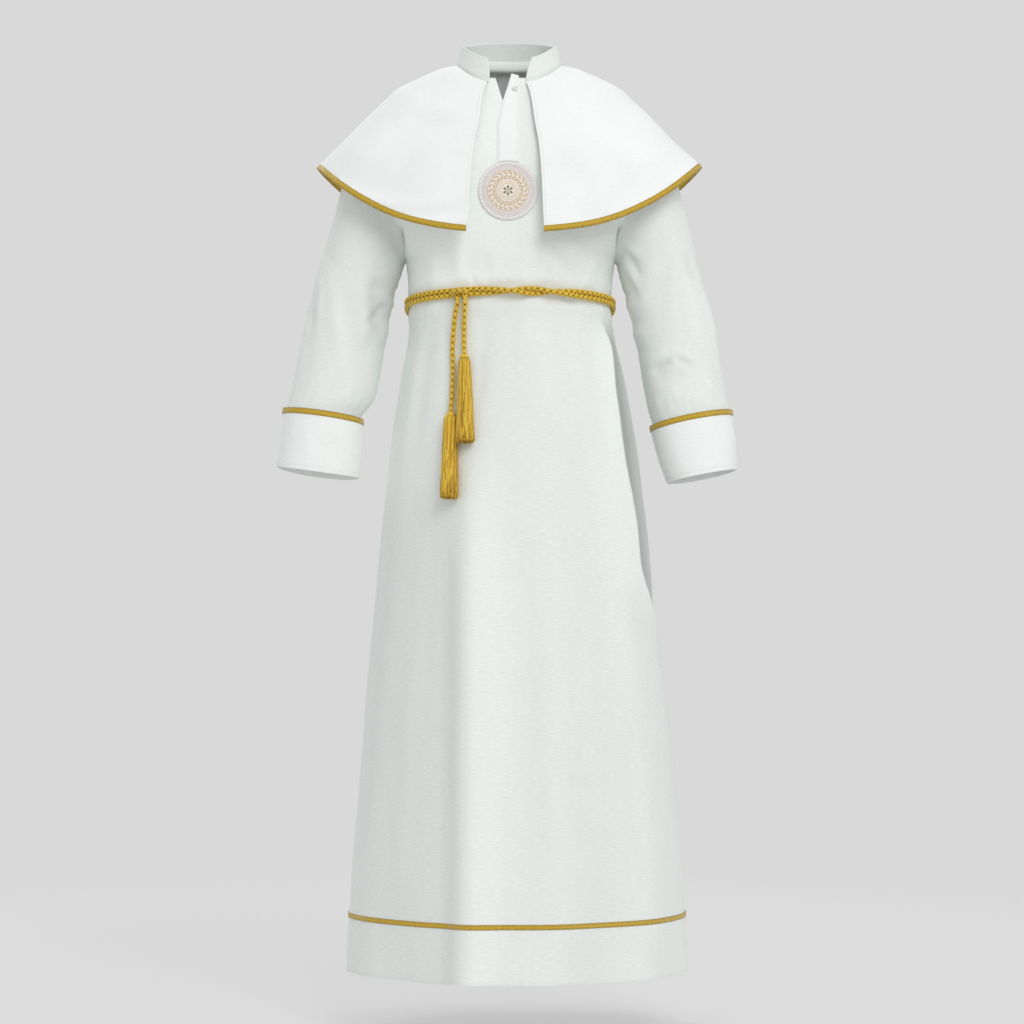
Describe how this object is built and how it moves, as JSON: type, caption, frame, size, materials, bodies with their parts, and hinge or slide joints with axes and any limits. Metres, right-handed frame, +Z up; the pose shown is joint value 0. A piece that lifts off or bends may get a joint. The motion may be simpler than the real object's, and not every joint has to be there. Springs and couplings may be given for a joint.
{
  "type": "alb robe with shoulder cape and cincture",
  "caption": "Long white alb worn hollow on no wearer, with a stand collar, open-fronted shoulder cape, gold braid at its hems, a round patch and a tasselled rope cincture.",
  "frame": {"origin": "on the neck's vertical axis, level with the front of the neckline, where the wearer's neck and shoulders hold the garment", "axes": "+Z up, -Y the garment's front, +X to the right of someone who looks at the front"},
  "size_m": [0.6191, 0.4138, 1.2559],
  "materials": {
    "linen": "matt plain weave, linen look",
    "gold_braid": "flat woven braid with a soft metallic glint",
    "gold_cord": "braided rayon rope with dark flecks",
    "embroidered_patch": "satin stitch",
    "button": "pearly"
  },
  "bodies": {
    "root": {"alb_front": "linen", "alb_back": "linen", "sleeve_left": "linen", "sleeve_right": "linen", "cuff_left": "linen", "cuff_right": "linen", "cape_front_left": "linen", "cape_front_right": "linen", "cape_back": "linen", "collar": "linen", "placket": "linen", "hem_band_front": "gold_braid", "hem_band_back": "gold_braid", "cuff_band_left": "gold_braid", "cuff_band_right": "gold_braid", "cape_edge_left": "gold_braid", "cape_edge_right": "gold_braid", "cape_edge_back": "gold_braid", "cincture_upper": "gold_cord", "cincture_lower": "gold_cord", "cincture_turn_left": "gold_cord", "cincture_turn_right": "gold_cord", "cincture_end_left": "gold_cord", "cincture_end_right": "gold_cord", "tassel_left": "gold_cord", "tassel_right": "gold_cord", "medallion": "embroidered_patch", "button": "button"}
  },
  "joints": []
}
